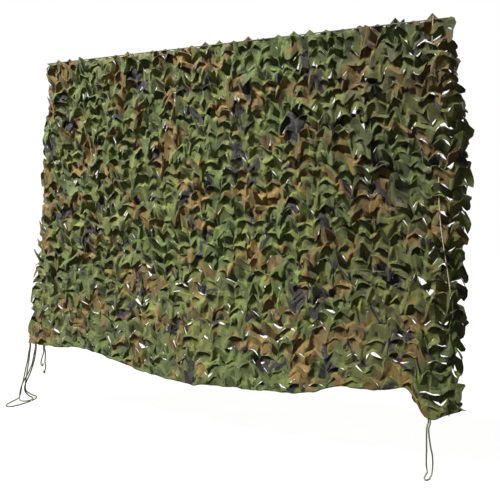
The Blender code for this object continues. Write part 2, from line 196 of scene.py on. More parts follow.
# ---- the stiff cells that each ribbon is made of ----
CELL_COLUMNS = 4  # columns of faces to each half pitch
CELL_TILT = 45  # uneven turns of the cells, in degrees at most
CELL_TURN = 39
CELL_LEAN = 24
CELL_PUSH = 0.010  # uneven shifts of the cells, at most
ARM_TURN = -12  # the even turn of each V's two arms, towards opposite sides
FOLDED_SHARE = 0.75  # how many cells have a fold of their own
FOLD_ANGLE = 75
UPRIGHT_FOLD_ABOVE = 0.4  # cells of a kind above this fold about an upright line
CELL_WIDTH = 0.96  # the size of the cells as shares of the flat cut
CELL_HEIGHT = 0.950
SETTLE_STEPS = 14
SETTLE_PULL = 0.12  # how far each step draws a cell back to its hung place

# ---- how the cords are made ----
Twist = namedtuple("Twist", "sides strands lay")  # lay is the length of one turn of the strands
ROPE = Twist(12, 3, 0.026)
SIDE_CORD = Twist(9, 3, 0.018)
MESH_CORD = Twist(5, 0, 0.01)
STRAND_VALLEY = 0.78  # the section of a twisted rope, in shares of its radius
STRAND_BULGE = 0.24
STRAND_ROUNDNESS = 0.8
MESH_BEHIND = 0.030
MESH_WAVE = 0.003
MESH_CORD_RADIUS = 0.0009
TOP_ROPE_STEPS = 1000
SIDE_CORD_STEPS = 20
TIE_POINTS_APART = 0.0026
CORD_POINTS_APART = 0.003
CURVE_STEPS = 12  # fine steps of a route's curve from one of its points to the next
TIE_STUB = 0.012
KNOT_SIZE = 0.0026
KNOT_BELOW = 0.004
KNOT_STRAND_RADIUS = TIE_RADIUS * 0.95
KNOT_STEPS = 60

# ---- routes of the ties, as in the CAD source ----
AT_FLOOR = FLOOR_Z + TIE_RADIUS  # a tie's middle where it lies on the floor
TIE_LEFT_A_ROUTE = (
    (-1.469, -0.106, -1.925), (-1.478, -0.107, -1.972), (-1.495, -0.109, -2.030),
    (-1.516, -0.111, -2.105), (-1.533, -0.110, -2.146), (-1.550, -0.102, -2.182),
    (-1.556, -0.105, -2.215), (-1.535, -0.140, AT_FLOOR), (-1.512, -0.190, AT_FLOOR),
    (-1.492, -0.250, AT_FLOOR), (-1.468, -0.305, AT_FLOOR), (-1.440, -0.333, AT_FLOOR),
    (-1.408, -0.325, AT_FLOOR), (-1.396, -0.280, AT_FLOOR), (-1.394, -0.225, AT_FLOOR),
    (-1.400, -0.170, AT_FLOOR), (-1.415, -0.115, AT_FLOOR), (-1.440, -0.070, AT_FLOOR),
    (-1.475, -0.045, AT_FLOOR), (-1.510, -0.050, -2.223), (-1.530, -0.078, -2.195),
    (-1.520, -0.092, -2.150), (-1.503, -0.102, -2.105), (-1.481, -0.106, -2.030),
    (-1.466, -0.107, -1.972), (-1.458, -0.107, -1.925),
)
TIE_LEFT_B_ROUTE = (
    (-1.410, -0.116, -1.930), (-1.424, -0.118, -1.985), (-1.440, -0.121, -2.022),
    (-1.461, -0.128, -2.066), (-1.492, -0.135, -2.115), (-1.514, -0.138, -2.160),
    (-1.516, -0.148, -2.200), (-1.497, -0.168, -2.226), (-1.468, -0.185, AT_FLOOR),
    (-1.435, -0.182, AT_FLOOR), (-1.420, -0.150, AT_FLOOR), (-1.436, -0.108, AT_FLOOR),
    (-1.463, -0.086, AT_FLOOR), (-1.490, -0.090, -2.222), (-1.502, -0.112, -2.190),
    (-1.494, -0.122, -2.150), (-1.471, -0.122, -2.105), (-1.447, -0.118, -2.060),
    (-1.428, -0.115, -2.015), (-1.413, -0.113, -1.975), (-1.399, -0.112, -1.920),
)
TIE_RIGHT_ROUTE = (
    (1.294, -0.110, -2.020), (1.294, -0.111, -2.080), (1.295, -0.111, -2.130),
    (1.294, -0.110, -2.180), (1.293, -0.103, -2.214), (1.300, -0.112, AT_FLOOR),
    (1.308, -0.135, AT_FLOOR), (1.313, -0.175, AT_FLOOR), (1.323, -0.222, AT_FLOOR),
    (1.337, -0.244, AT_FLOOR), (1.347, -0.222, AT_FLOOR), (1.341, -0.180, AT_FLOOR),
    (1.333, -0.140, AT_FLOOR), (1.328, -0.116, -2.222), (1.327, -0.110, -2.185),
    (1.324, -0.110, -2.148), (1.315, -0.110, -2.110), (1.307, -0.110, -2.060),
    (1.304, -0.110, -2.020),
)
SHORT_TIE_A_ROUTE = (
    (-1.316, -0.118, -1.900), (-1.327, -0.119, -1.930), (-1.338, -0.121, -1.962),
    (-1.337, -0.122, -1.988), (-1.325, -0.123, -1.992), (-1.317, -0.124, -1.974),
)
SHORT_TIE_B_ROUTE = (
    (-1.301, -0.118, -1.900), (-1.302, -0.118, -1.930), (-1.305, -0.119, -1.965),
    (-1.300, -0.120, -2.005), (-1.311, -0.121, -2.028),
)
LEFT_TIE_A_X, LEFT_TIE_B_X, SHORT_TIE_X, RIGHT_TIE_X = -1.451, -1.388, -1.306, 1.300

# ---- camera ----
CAMERA_AT = (2.5472, -3.9072, -0.8614)
CAMERA_YAW = 0.540
CAMERA_PITCH = -0.069
CAMERA_LENS = 57.6
CAMERA_SENSOR = 36


def make_camera():
    camera = bpy.data.objects.new("camera", bpy.data.cameras.new("camera"))
    camera.data.lens = CAMERA_LENS
    camera.data.sensor_width = CAMERA_SENSOR
    camera.location = CAMERA_AT
    camera.rotation_euler = (math.pi / 2 + CAMERA_PITCH, 0, CAMERA_YAW)
    bpy.context.scene.collection.objects.link(camera)
    bpy.context.scene.camera = camera


# ---- how the sheet hangs ----


def ease(share):
    """0 to 1 with a soft start and end."""
    share = min(max(share, 0.0), 1.0)
    return share * share * (3 - 2 * share)


def read_row(rows, place):
    """The row of a table at a place given by its first column, on a smooth curve through its rows."""
    place = min(max(place, rows[0][0]), rows[-1][0])
    at = next(i for i, row in enumerate(rows[1:]) if place <= row[0])
    before, start, end = rows[max(at - 1, 0)], rows[at], rows[at + 1]
    after = rows[min(at + 2, len(rows) - 1)]
    gap = end[0] - start[0]
    t = (place - start[0]) / gap
    values = []
    for a, b, c, d in zip(before, start, end, after):
        rise_in = (c - a) / (end[0] - before[0]) * gap
        rise_out = (d - b) / (after[0] - start[0]) * gap
        values.append((2 * t**3 - 3 * t**2 + 1) * b + (t**3 - 2 * t**2 + t) * rise_in
                      + (3 * t**2 - 2 * t**3) * c + (t**3 - t**2) * rise_out)
    return type(start)(*values)


def hang(across, down):
    """Where a place of the flat cloth hangs, without the relief of its leaves."""
    share = down / CLOTH_HEIGHT
    gather = TOP_GATHER + (BODY_GATHER - TOP_GATHER) * ease(down / SPREAD_DOWN)
    margins = read_row(MARGINS, down)
    side = -1 if across < 0 else 1
    width, turn = margins[1:3] if side < 0 else margins[3:5]
    turn = math.radians(turn)
    past = max(abs(across) - (HALF_WIDTH - width), 0)
    x = (abs(across) - past) * gather
    y = 0.0
    if past > 0:
        radius = width / max(turn, 1e-3)
        x += radius * math.sin(past / radius) * (gather if turn < NO_TURN else 1)
        y += radius * (1 - math.cos(past / radius))
    profile = read_row(PROFILE, down)
    end = profile.left if side < 0 else profile.right
    endness = (min(abs(across), HALF_WIDTH) / HALF_WIDTH) ** 2
    y -= profile.middle + (end - profile.middle) * endness
    fade = ease(share / FOLDS_GROWN_AT)
    y -= fade * sum(f.depth * math.sin(math.tau * across / f.wavelength + f.phase) for f in FOLDS)
    sag = read_row(HEM, across).height + EVEN_DROP
    return Vector((side * x, y, -EVEN_DROP * share + sag * share**SAG_POWER))


def front(across, down):
    """The level direction that the sheet's front faces."""
    step = 0.004
    along = hang(across + step, down) - hang(across - step, down)
    return Vector((along.y, -along.x, 0)).normalized()


def side_cord_across(down, side):
    row = read_row(SIDE_CORDS, down)
    return row.left if side < 0 else row.right


class HungSheet:
    """hang() and front() on a fine grid, read for whole arrays of places at once."""

    STEPS_ACROSS, STEPS_DOWN = 150, 100

    def __init__(self):
        self.place = np.empty((self.STEPS_DOWN + 1, self.STEPS_ACROSS + 1, 3))
        self.front = np.empty_like(self.place)
        for j in range(self.STEPS_DOWN + 1):
            for i in range(self.STEPS_ACROSS + 1):
                across = -HALF_WIDTH + CLOTH_WIDTH * i / self.STEPS_ACROSS
                down = CLOTH_HEIGHT * j / self.STEPS_DOWN
                self.place[j, i] = hang(across, down)
                self.front[j, i] = front(across, down)

    def read(self, across, down):
        """Places, front directions and along directions."""
        i = np.clip((across + HALF_WIDTH) / CLOTH_WIDTH, 0, 1) * self.STEPS_ACROSS
        j = np.clip(down / CLOTH_HEIGHT, 0, 1) * self.STEPS_DOWN
        i0 = np.minimum(i.astype(int), self.STEPS_ACROSS - 1)
        j0 = np.minimum(j.astype(int), self.STEPS_DOWN - 1)
        s, t = (i - i0)[:, None], (j - j0)[:, None]
        result = []
        for grid in (self.place, self.front):
            upper = grid[j0, i0] * (1 - s) + grid[j0, i0 + 1] * s
            lower = grid[j0 + 1, i0] * (1 - s) + grid[j0 + 1, i0 + 1] * s
            result.append(upper * (1 - t) + lower * t)
        place, facing = result
        facing /= np.linalg.norm(facing, axis=1, keepdims=True)
        along = np.stack((-facing[:, 1], facing[:, 0], np.zeros(len(facing))), axis=1)
        return place, facing, along


def smooth(share):
    share = np.clip(share, 0, 1)
    return share * share * (3 - 2 * share)


# ---- the leaf-cut cloth ----


def cut_columns():
    """Across-places of the cloth's columns: a few to each half pitch, on every corner of the cuts."""
    marks = (HALF_PITCH - UPTURNED_HALF, MIDDLE_MARK, V_HALF)
    columns = []
    for number in range(-HALF_PITCHES // 2, HALF_PITCHES // 2, 2):
        start = number * HALF_PITCH
        columns += [start, *(start + mark for mark in marks), start + HALF_PITCH]
        columns += [start + 2 * HALF_PITCH - mark for mark in reversed(marks)]
    return np.array(columns + [HALF_WIDTH])


class Cuts:
    """A row of cuts as the cloth's columns meet it."""

    def __init__(self, row, across):
        self.row = row
        self.upturned = row % 2
        pair = np.round((across / HALF_PITCH - self.upturned) / 2).astype(int)
        self.number = 2 * pair + self.upturned
        half, rise = (UPTURNED_HALF, -UPTURNED_RISE) if self.upturned else (V_HALF, V_RISE)
        self.along = (across - self.number * HALF_PITCH) / half
        self.hump = np.clip(1 - np.abs(self.along), 0, 1)
        if row in (0, RIBBONS):
            self.hump = 0 * self.hump
        self.down = row * ROW + (UPTURNED_LOWER if self.upturned else 0) + rise * self.hump

    @property
    def opened(self):
        """0 at a cut's ends and 1 where its two lips are well apart."""
        return np.clip(self.hump / OPENED_BY, 0, 1)

    @property
    def bridge(self):
        """Where the cloth is whole across the row of cuts."""
        return np.abs(self.along) > AT_BRIDGE


class Leaves:
    """What is uneven from leaf to leaf by row of cuts, and from cell to cell by ribbon."""

    def __init__(self):
        rng = np.random.default_rng(LEAF_SEED)
        self.tables = {}
        for name in ("reach", "stretch"):
            shape = (RIBBONS + 1, HALF_PITCHES + 2 * SPARE_LEAVES + 1)
            self.tables[name] = rng.uniform(-1, 1, shape)
        cell = rng.uniform(-1, 1, (RIBBONS, HALF_PITCHES, 8))
        self.turn, self.push = cell[..., :3], cell[..., 3:6]
        self.fold_kind, self.fold_angle = cell[..., 6], cell[..., 7]

    def at(self, name, cuts):
        return self.tables[name][cuts.row, cuts.number + HALF_PITCHES // 2 + SPARE_LEAVES]


def wander(across, down):
    """How far the rows and columns of leaves stray sideways and down over the cloth."""
    fade = smooth(down / STEADY_TOP) * smooth((CLOTH_HEIGHT - down) / STEADY_HEM)

    def waves(rows):
        return sum(s.size * np.sin(math.tau * (across / s.wide + down / s.tall) + s.phase) for s in rows)

    return waves(STRAYING[::2]) * fade, waves(STRAYING[1::2]) * fade


def hem_ripple(across):
    """How much higher than its smooth line the hem is."""
    return sum(r.size * np.sin(math.tau * across / r.wave + r.phase) for r in HEM_RIPPLES)


def leaf_lie(down):
    """How much of their full relief the leaves keep."""
    share = down / CLOTH_HEIGHT
    return 1 - RELIEF_LOST_LOW * smooth((share - RELIEF_LOST_FROM) / RELIEF_LOST_OVER)


def top_tips(cuts, leaves, columns):
    """How far below the rope the zigzag top edge is: tips stand above it, some notches dip below."""
    hump = np.clip(1 - np.abs(cuts.along), 0, 1)
    tall = np.where(columns > TALL_TIPS_PAST, TALL_TIPS, 1)
    tip = TOP_TIP * (1 + TOP_TIP_UNEVEN * leaves.at("stretch", cuts)) * tall
    notched = leaves.at("reach", cuts) > TOP_NOTCH_ABOVE
    past = np.clip(np.abs(cuts.along) - TOP_NOTCH_FROM, 0, 1 - TOP_NOTCH_FROM)
    notch = TOP_NOTCH * past / (1 - TOP_NOTCH_FROM) * notched
    return notch - tip * hump


def edge_shift(cuts, leaves, columns, above):
    """Forward, downward and sideways shifts of the cloth's edge above or below a row of cuts."""
    still = 0 * columns
    if cuts.row == RIBBONS:
        return still, still, still
    if cuts.row == 0:
        return still, top_tips(cuts, leaves, columns), still
    opened, hump = cuts.opened, cuts.hump
    bridge = FRONT_LOW_EDGE if cuts.upturned else FRONT_TOP_EDGE
    if above == bool(cuts.upturned):
        return bridge + still, still, still
    threshold, tuck = (UPTURNED_FLIPPED_ABOVE, 0) if cuts.upturned else (FLIPPED_ABOVE, TIP_TUCK)
    flipped = np.where(leaves.at("reach", cuts) > threshold, FLIPPED_FORWARD, tuck)
    forward = bridge * (1 - opened) + BEHIND_EDGE * opened + flipped * hump
    drop = OVERLAP * (1 + OVERLAP_UNEVEN * leaves.at("stretch", cuts)) * opened * (1 if above else -1)
    return forward, drop, -BEHIND_LEFT * opened


def turned(points, angles):
    """Points turned about an axis whose length is the angle."""
    angle = np.linalg.norm(angles, axis=-1, keepdims=True)
    axis = angles / np.maximum(angle, 1e-9)
    along = axis * (points * axis).sum(axis=-1, keepdims=True)
    return along + (points - along) * np.cos(angle) + np.cross(axis, points) * np.sin(angle)


def stiff_goal(flat, place):
    """Where the vertices of each cell would be if the cell kept its flat shape."""
    flat_middle, middle = flat.mean(axis=2, keepdims=True), place.mean(axis=2, keepdims=True)
    spread = np.swapaxes(place - middle, -1, -2) @ (flat - flat_middle)
    left, _, right = np.linalg.svd(spread)
    left[..., :, 2] *= np.linalg.det(left @ right)[..., None]
    return middle + (flat - flat_middle) @ np.swapaxes(left @ right, -1, -2)


def folded(flat, leaves, lie):
    """The flat cells with an upright or level fold through some of them."""
    cells = flat.copy().reshape(RIBBONS, HALF_PITCHES, ROWS_PER_RIBBON + 1, CELL_COLUMNS + 1, 3)
    kind = leaves.fold_kind
    angle = leaves.fold_angle * math.radians(FOLD_ANGLE) * lie
    for ribbon, number in zip(*np.nonzero(np.abs(kind) < FOLDED_SHARE)):
        cell = cells[ribbon, number]
        if kind[ribbon, number] > UPRIGHT_FOLD_ABOVE:
            hinge, moved = cell[:, 2:3], cell[:, 3:]
        else:
            hinge, moved = cell[1:2], cell[2:]
        slope, rise = math.cos(angle[ribbon, number]), math.sin(angle[ribbon, number])
        reach = np.linalg.norm(moved - hinge, axis=-1)
        moved[...] = hinge + (moved - hinge) * slope
        moved[..., 1] -= reach * rise
    return cells.reshape(flat.shape)


class Cells:
    """The stiff pieces of the ribbons, one to each half pitch, as (ribbon, cell, vertex, axis)."""

    def __init__(self, columns):
        self.steps = ROWS_PER_RIBBON + 1
        self.index = np.arange(HALF_PITCHES)[:, None] * CELL_COLUMNS + np.arange(CELL_COLUMNS + 1)
        self.kept = [Cuts(row, columns).bridge for row in range(RIBBONS + 1)]

    def split(self, grid):
        cells = grid[:, :, self.index]
        return np.swapaxes(cells, 1, 2).reshape(RIBBONS, HALF_PITCHES, -1, 3)

    def join(self, cells):
        """One grid again: vertices that cells or ribbons share are put halfway."""
        shape = (RIBBONS, HALF_PITCHES, self.steps, CELL_COLUMNS + 1, 3)
        cells = np.swapaxes(cells.reshape(shape), 1, 2)
        grid = np.zeros((RIBBONS, self.steps, HALF_PITCHES * CELL_COLUMNS + 1, 3))
        grid[:, :, self.index[:, :-1]] += cells[..., :-1, :]
        grid[:, :, self.index[:, -1]] += cells[..., -1, :]
        grid[:, :, self.index[1:, 0]] /= 2
        for row in range(1, RIBBONS):
            kept = self.kept[row]
            middle = (grid[row - 1, -1, kept] + grid[row, 0, kept]) / 2
            grid[row - 1, -1, kept] = grid[row, 0, kept] = middle
        return grid


def hung_ribbons(sheet, leaves, columns):
    """The ribbons' vertices on the hung sheet and on the flat cut, and how far down each is."""
    steps = ROWS_PER_RIBBON + 1
    place, flat, downs = [], [], []
    for ribbon in range(RIBBONS):
        upper, lower = Cuts(ribbon, columns), Cuts(ribbon + 1, columns)
        top, low = edge_shift(upper, leaves, columns, False), edge_shift(lower, leaves, columns, True)
        for step in range(steps):
            q = step / ROWS_PER_RIBBON
            down = (1 - q) * upper.down + q * lower.down
            forward, drop, aside = (a * (1 - q) + b * q for a, b in zip(top, low))
            lie = leaf_lie(down)
            drop = drop * lie
            astray, fallen = wander(columns, down)
            at, facing, along = sheet.read(columns, down)
            at[:, 2] -= drop + fallen + (TOP_ROPE_RADIUS + GAP) * (1 - down / CLOTH_HEIGHT)
            place.append(at + facing * (forward * lie)[:, None] + along * (aside + astray)[:, None])
            flat_down = (down + drop) * CELL_HEIGHT
            flat.append(np.stack((columns * CELL_WIDTH + aside, 0 * columns, -flat_down), axis=1))
            downs.append(down)
    shape = (RIBBONS, steps, len(columns))
    place, flat = (np.array(rows).reshape(*shape, 3) for rows in (place, flat))
    return place, flat, np.array(downs).reshape(shape)


def settled_cloth(sheet, leaves, columns):
    """Every vertex of the ribbons: stiff cells, unevenly turned, then settled until they join up."""
    grid, flat, downs = hung_ribbons(sheet, leaves, columns)
    cells = Cells(columns)
    flat, held = cells.split(flat), cells.split(grid).mean(axis=2, keepdims=True)
    top_edge, hem = grid[0, 0].copy(), grid[-1, -1].copy()
    hem[:, 2] += hem_ripple(columns)
    lie = leaf_lie(downs[:, cells.steps // 2, cells.index[:, CELL_COLUMNS // 2]])
    arm = np.where((np.arange(HALF_PITCHES) % 2) == 0, 1, -1)
    turns = np.radians((CELL_TILT, CELL_LEAN, CELL_TURN)) * leaves.turn
    turns[..., 2] += np.radians(ARM_TURN) * arm
    flat = folded(flat, leaves, lie)
    turns *= lie[..., None]
    shift = leaves.push * CELL_PUSH * lie[..., None]
    points = stiff_goal(flat, cells.split(grid))
    middle = points.mean(axis=2, keepdims=True)
    stiff = turned(points - middle, turns[:, :, None])
    middle = middle + shift[:, :, None]
    for _ in range(SETTLE_STEPS):
        grid = cells.join(middle + stiff)
        grid[-1, -1] = hem
        grid[0, 0] = top_edge
        middle = cells.split(grid).mean(axis=2, keepdims=True)
        middle += (held - middle) * SETTLE_PULL
    close_lips(grid, sheet, columns, leaves)
    side_teeth(grid, leaves, columns)
    return grid, downs


def close_lips(grid, sheet, columns, leaves):
    """Makes the lip behind each cut reach past the lip in front, less so at the loose cuts."""
    sideways = np.array(PHOTO_SIDEWAYS)
    shares = np.linspace(0, 1, ROWS_PER_RIBBON + 1)[:, None, None]
    for row in range(1, RIBBONS):
        cuts = Cuts(row, columns)
        _, facing, _ = sheet.read(columns, cuts.down)
        if cuts.upturned:
            ahead, behind, way = grid[row - 1, -1], grid[row, 0], 1
        else:
            ahead, behind, way = grid[row, 0], grid[row - 1, -1], -1
        depth = np.abs(((ahead - behind) * facing).sum(axis=1))
        aside = np.abs((ahead - behind) @ sideways)
        wanted = (LIP_MARGIN + LIP_PER_DEPTH * np.minimum(depth, LIP_GAP_MOST)
                  + LIP_PER_ASIDE * np.minimum(aside, LIP_GAP_MOST))
        short = np.maximum(wanted - way * (behind - ahead)[:, 2], 0) * cuts.opened
        short = np.minimum(short, LIP_MOST)
        stretch = leaves.at("stretch", cuts)
        loose = (columns > OPEN_MARGIN) & (stretch > OPEN_MARGIN_ABOVE)
        loose |= (cuts.down > OPEN_HEM) & (stretch > OPEN_HEM_ABOVE)
        short *= np.where(loose, OPEN_LIP_SHARE, 1)
        if cuts.upturned:
            grid[row, :, :, 2:] += short[:, None] * (1 - shares) ** LIP_FALLOFF
        else:
            grid[row - 1, :, :, 2:] -= short[:, None] * shares ** LIP_FALLOFF


def side_teeth(grid, leaves, columns):
    """Leaf tips that stand out past the side edges, one to each ribbon."""
    peak = 1 - np.abs(np.linspace(-1, 1, ROWS_PER_RIBBON + 1))
    reach = np.clip((columns[:CELL_COLUMNS] + HALF_WIDTH) / HALF_PITCH, 0, 1)
    sides = ((SIDE_TOOTH_LEFT, 0, slice(None)), (SIDE_TOOTH_RIGHT, -1, slice(None, None, -1)))
    for size, cell, order in sides:
        edge = grid[:, :, order]
        outward = edge[:, :, :1] - edge[:, :, CELL_COLUMNS:CELL_COLUMNS + 1]
        outward /= np.linalg.norm(outward, axis=-1, keepdims=True)
        uneven = size * (1 + SIDE_TOOTH_UNEVEN * leaves.turn[:, cell, 0])
        edge[:, :, :CELL_COLUMNS] += (outward * uneven[:, None, None, None] * peak[:, None, None]
                                      * (1 - reach)[:, None])


def make_cloth(materials):
    """The printed sheet with its zigzag cuts, its leaf tips and its rolled hem."""
    sheet, leaves, columns = HungSheet(), Leaves(), cut_columns()
    count = len(columns)
    grid, grid_downs = settled_cloth(sheet, leaves, columns)
    places, downs, faces = [], [], []
    total = 0

    def add_row(place, down, above=0, keep=np.zeros(count, dtype=bool)):
        """A row of vertex numbers; where keep is set, the vertices of the row above are used."""
        nonlocal total
        numbers = np.where(keep, above, np.cumsum(~keep) - 1 + total)
        places.append(place[~keep])
        downs.append(np.stack((columns[~keep], down[~keep]), axis=1))
        total += int((~keep).sum())
        return numbers

    def add_faces(upper, lower):
        faces.append(np.stack((upper[:-1], lower[:-1], lower[1:], upper[1:]), axis=1))

    last = None
    for ribbon in range(RIBBONS):
        for step in range(ROWS_PER_RIBBON + 1):
            place, down = grid[ribbon, step], grid_downs[ribbon, step]
            if step == 0 and ribbon > 0:
                numbers = add_row(place, down, last, Cuts(ribbon, columns).bridge)
            else:
                numbers = add_row(place, down)
            if step:
                add_faces(last, numbers)
            last = numbers
    hem_place, hem_facing, _ = sheet.read(columns, np.full(count, CLOTH_HEIGHT))
    hem_place[:, 2] += hem_ripple(columns)
    for step in range(1, HEM_ROLL_ROWS + 1):
        angle = math.radians(HEM_ROLL_TURN) * step / HEM_ROLL_ROWS
        place = hem_place - hem_facing * (HEM_ROLL_RADIUS * (1 - math.cos(angle)))
        place[:, 2] -= HEM_ROLL_RADIUS * math.sin(angle)
        numbers = add_row(place, np.full(count, CLOTH_HEIGHT + HEM_ROLL_ROW * step))
        add_faces(last, numbers)
        last = numbers
    mesh = bpy.data.meshes.new("net_cloth")
    mesh.from_pydata(np.concatenate(places).tolist(), [], np.concatenate(faces).tolist())
    flat = np.concatenate(downs)
    layer = mesh.uv_layers.new(name="flat")
    loops = np.empty(len(mesh.loops), dtype=np.int32)
    mesh.loops.foreach_get("vertex_index", loops)
    uv = np.stack((flat[loops, 0] / CLOTH_WIDTH + 0.5, 1 - flat[loops, 1] / PRINT_HEIGHT), axis=1)
    layer.data.foreach_set("uv", uv.astype(np.float32).ravel())
    mesh.polygons.foreach_set("use_smooth", np.ones(len(mesh.polygons), dtype=bool))
    cloth = bpy.data.objects.new("net_cloth", mesh)
    bpy.context.scene.collection.objects.link(cloth)
    for material in materials:
        mesh.materials.append(material)
    solidify = cloth.modifiers.new("thickness", "SOLIDIFY")
    solidify.thickness = CLOTH_THICKNESS
    solidify.offset = 0
    solidify.material_offset = 1
    solidify.material_offset_rim = 2
    apply_modifiers(cloth)
    sharpen_rims(cloth.data)
    return cloth


def apply_modifiers(obj):
    graph = bpy.context.evaluated_depsgraph_get()
    old = obj.data
    obj.data = bpy.data.meshes.new_from_object(obj.evaluated_get(graph))
    obj.modifiers.clear()
    obj.data.name = obj.name
    bpy.data.meshes.remove(old)


def sharpen_rims(mesh):
    """Marks creases and the edges where two materials meet, so that each side is shaded on its own."""
    mesh.set_sharp_from_angle(angle=math.radians(CREASE_ANGLE))
    edges = {}
    for polygon in mesh.polygons:
        for key in polygon.edge_keys:
            edges.setdefault(key, set()).add(polygon.material_index)
    for edge in mesh.edges:
        if len(edges.get(edge.key, ())) > 1:
            edge.use_edge_sharp = True


# ---- mesh, ropes and ties ----


def frames_along(points):
    """A pair of cross directions at each point of a path, carried along without twist."""
    points = [Vector(p) for p in points]
    ways = []
    for i in range(len(points)):
        ways.append((points[min(i + 1, len(points) - 1)] - points[max(i - 1, 0)]).normalized())
    side = ways[0].orthogonal().normalized()
    result = []
    for way in ways:
        side = (side - way * side.dot(way)).normalized()
        result.append((side.copy(), way.cross(side)))
    return points, result


def tube_faces(first, rings, sides):
    faces = []
    for ring in range(rings - 1):
        a = first + ring * sides
        for s in range(sides):
            n = (s + 1) % sides
            faces.append((a + s, a + n, a + sides + n, a + sides + s))
    faces.append(tuple(first + s for s in reversed(range(sides))))
    end = first + (rings - 1) * sides
    faces.append(tuple(end + s for s in range(sides)))
    return faces


def rope_mesh(name, paths, radius, twist, material):
    """Tubes along paths, whose sides bulge as twisted strands do."""
    sides, strands, lay = twist
    vertices, faces, uvs = [], [], []
    for path in paths:
        points, frames = frames_along(path)
        first, run = len(vertices), 0.0
        for i, (point, (side, up)) in enumerate(zip(points, frames)):
            if i:
                run += (point - points[i - 1]).length
            for s in range(sides):
                angle = math.tau * s / sides
                lobe = 1.0
                if strands:
                    phase = strands / 2 * (angle - math.tau * run / lay)
                    lobe = STRAND_VALLEY + STRAND_BULGE * abs(math.cos(phase)) ** STRAND_ROUNDNESS
                outward = side * math.cos(angle) + up * math.sin(angle)
                vertices.append(point + outward * radius * lobe)
                uvs.append((s / sides, run))
        faces += tube_faces(first, len(points), sides)
    mesh = bpy.data.meshes.new(name)
    mesh.from_pydata(vertices, [], faces)
    layer = mesh.uv_layers.new(name="flat")
    for loop, datum in zip(mesh.loops, layer.data):
        datum.uv = uvs[loop.vertex_index]
    for polygon in mesh.polygons:
        polygon.use_smooth = len(polygon.vertices) == 4
    mesh.materials.append(material)
    obj = bpy.data.objects.new(name, mesh)
    bpy.context.scene.collection.objects.link(obj)
    return obj


def smooth_route(route, spacing):
    """Evenly spaced points of the smooth curve that passes through a route's points."""
    route = [Vector(p) for p in route]
    padded = [2 * route[0] - route[1], *route, 2 * route[-1] - route[-2]]
    fine = []
    for before, a, b, after in zip(padded, padded[1:], padded[2:], padded[3:]):
        for step in range(CURVE_STEPS):
            t = step / CURVE_STEPS
            fine.append(0.5 * (2 * a + (b - before) * t
                               + (2 * before - 5 * a + 4 * b - after) * t**2
                               + (3 * a - before - 3 * b + after) * t**3))
    fine.append(route[-1])
    lengths = [0.0]
    for a, b in zip(fine, fine[1:]):
        lengths.append(lengths[-1] + (b - a).length)
    count = max(round(lengths[-1] / spacing), 2)
    points, at = [], 0
    for number in range(count + 1):
        wanted = lengths[-1] * number / count
        while at < len(fine) - 2 and lengths[at + 1] < wanted:
            at += 1
        share = (wanted - lengths[at]) / (lengths[at + 1] - lengths[at])
        points.append(fine[at].lerp(fine[at + 1], min(share, 1)))
    return points


def cad_columns():
    """Across-places of the CAD cloth's columns, which the hem rope's corners follow."""
    columns = [-HALF_WIDTH, -HALF_WIDTH + CAD_BRIDGE_HALF]
    for number in range(-10, 11):
        centre = number * CAD_HALF_PITCH
        columns += [centre - CAD_BRIDGE_HALF, centre + CAD_BRIDGE_HALF]
    return columns + [HALF_WIDTH - CAD_BRIDGE_HALF, HALF_WIDTH]


def hem_rope_points():
    back = CAD_CLOTH_THICKNESS / 2 + 2 * GAP + HEM_ROPE_RADIUS
    return [hang(a, CLOTH_HEIGHT) - front(a, CLOTH_HEIGHT) * back for a in cad_columns()]


def below_hem_rope(x):
    """Where a tie's end sits just under the hem rope."""
    points = hem_rope_points()
    for a, b in zip(points, points[1:]):
        if a.x <= x <= b.x:
            slope = abs((b.z - a.z) / (b.x - a.x))
            place = a.lerp(b, (x - a.x) / (b.x - a.x))
            tilt = HEM_ROPE_RADIUS * (math.sqrt(1 + slope**2) - 1) + TIE_RADIUS * slope
            return place - Vector((0, 0, HEM_ROPE_RADIUS + GAP + tilt))
    raise ValueError("no hem rope at this place")


def tie_rope(name, route, material):
    path = smooth_route(route, TIE_POINTS_APART)
    rope = rope_mesh(name + "_rope", [path], TIE_LOOK_RADIUS, ROPE, material)
    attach(rope, "root")
    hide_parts(name)
    return rope, path


def make_ties(material):
    """The corner ties: doubled ropes whose both ends are at the hem, and two short ones, one with a knot
    at its end.
    """
    half = TIE_STRANDS / 2
    stub = Vector((0, 0, -TIE_STUB))
    loops = (
        ("tie_left_a", LEFT_TIE_A_X, TIE_LEFT_A_ROUTE),
        ("tie_left_b", LEFT_TIE_B_X, TIE_LEFT_B_ROUTE),
        ("tie_right", RIGHT_TIE_X, TIE_RIGHT_ROUTE),
    )
    for name, x, route in loops:
        start, end = below_hem_rope(x - half), below_hem_rope(x + half)
        whole = (start, start + stub, start + 2 * stub, *route, end + 2 * stub, end + stub, end)
        rope, path = tie_rope(name, whole, material)
    shorts = (
        ("tie_left_short_a", SHORT_TIE_X - half, SHORT_TIE_A_ROUTE, "bare"),
        ("tie_left_short_b", SHORT_TIE_X + half, SHORT_TIE_B_ROUTE, "knot"),
    )
    for name, x, route, far_end in shorts:
        start = below_hem_rope(x)
        rope, path = tie_rope(name, (start, start + stub, start + 2 * stub, *route), material)
        if far_end == "knot":
            make_knot(path[-1] - Vector((0, 0, KNOT_BELOW)), material)


def make_knot(centre, material):
    """A small overhand knot."""
    points = []
    for step in range(KNOT_STEPS + 1):
        t = math.tau * step / KNOT_STEPS
        x, z = math.sin(t) + 2 * math.sin(2 * t), math.cos(t) - 2 * math.cos(2 * t)
        points.append(centre + KNOT_SIZE * Vector((x, -math.sin(3 * t), z)))
    knot = rope_mesh("tie_knot", [points], KNOT_STRAND_RADIUS, ROPE, material)
    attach(knot, "root")
    return knot


